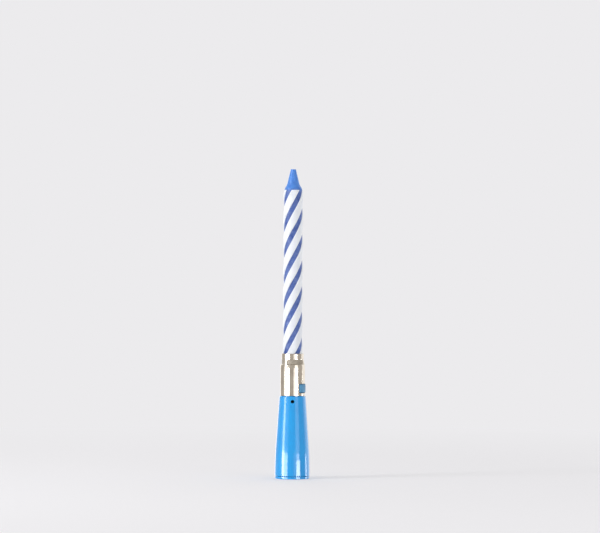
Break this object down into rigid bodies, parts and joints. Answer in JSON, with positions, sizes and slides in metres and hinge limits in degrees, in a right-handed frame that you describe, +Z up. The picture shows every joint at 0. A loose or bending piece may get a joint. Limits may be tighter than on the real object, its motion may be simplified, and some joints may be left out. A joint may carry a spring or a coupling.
{
  "type": "musical birthday candle",
  "caption": "Striped wax candle with a sharpened tip in a crimped metal socket, on a tapered blue plastic base that holds a light-triggered melody circuit.",
  "frame": {"origin": "middle of the underside of the bottom cap, on the surface the candle stands on", "axes": "+Z up along the candle's axis; the front, with the small vent hole, faces -Y; +X is to the right"},
  "size_m": [0.0142, 0.0142, 0.1244],
  "materials": {
    "blue_plastic": "glossy moulded",
    "socket_steel": "bright nickel plate",
    "blue_wax": "satin wax",
    "white_wax": "satin wax",
    "wick_cotton": "braided cotton",
    "clear_plastic": "clear",
    "brass": "rolled",
    "piezo_ceramic": "silvered",
    "cradle_plastic": "moulded",
    "cell_steel": "plated",
    "board_laminate": "phenolic paper laminate",
    "black_epoxy": "poured epoxy",
    "resistor_lacquer": "lacquered",
    "capacitor_lacquer": "dipped lacquer",
    "leg_wire": "tinned",
    "red_insulation": "soft vinyl",
    "black_insulation": "soft vinyl"
  },
  "bodies": {
    "base": {"bottom_cap": "blue_plastic", "sounder_plate": "brass", "sounder_ceramic": "piezo_ceramic", "battery_cradle": "cradle_plastic", "contact_lower": "brass", "contact_upper": "brass", "cell_lower": "cell_steel", "cell_upper": "cell_steel", "circuit_board": "board_laminate", "melody_chip": "black_epoxy", "driver_transistor": "black_epoxy", "resistor": "resistor_lacquer", "capacitor": "capacitor_lacquer", "light_sensor": "clear_plastic", "sensor_leg_left": "leg_wire", "sensor_leg_right": "leg_wire", "lead_red": "red_insulation", "lead_black": "black_insulation"},
    "shell": {"base_shell": "blue_plastic", "metal_socket": "socket_steel"},
    "tab": {"lock_tab": "blue_plastic"},
    "candle": {"wax_core": "blue_wax", "white_band_1": "white_wax", "white_band_2": "white_wax", "white_band_3": "white_wax", "white_band_4": "white_wax", "wick": "wick_cotton", "light_fibre": "clear_plastic"}
  },
  "joints": [
    {"name": "shell_lift", "type": "slide", "parent": "base", "child": "shell", "axis": [0, 0, 1], "range_m": [0, 0.045]},
    {"name": "candle_pull", "type": "slide", "parent": "shell", "child": "candle", "axis": [0, 0, 1], "range_m": [0, 0.02]},
    {"name": "tab_press", "type": "hinge", "parent": "shell", "child": "tab", "pos_m": [0.00351, -0.00171, 0.03895], "axis": [0.4384, 0.8988, 0], "range_deg": [0, 8], "stiffness_Nm_per_rad": 0.02}
  ]
}
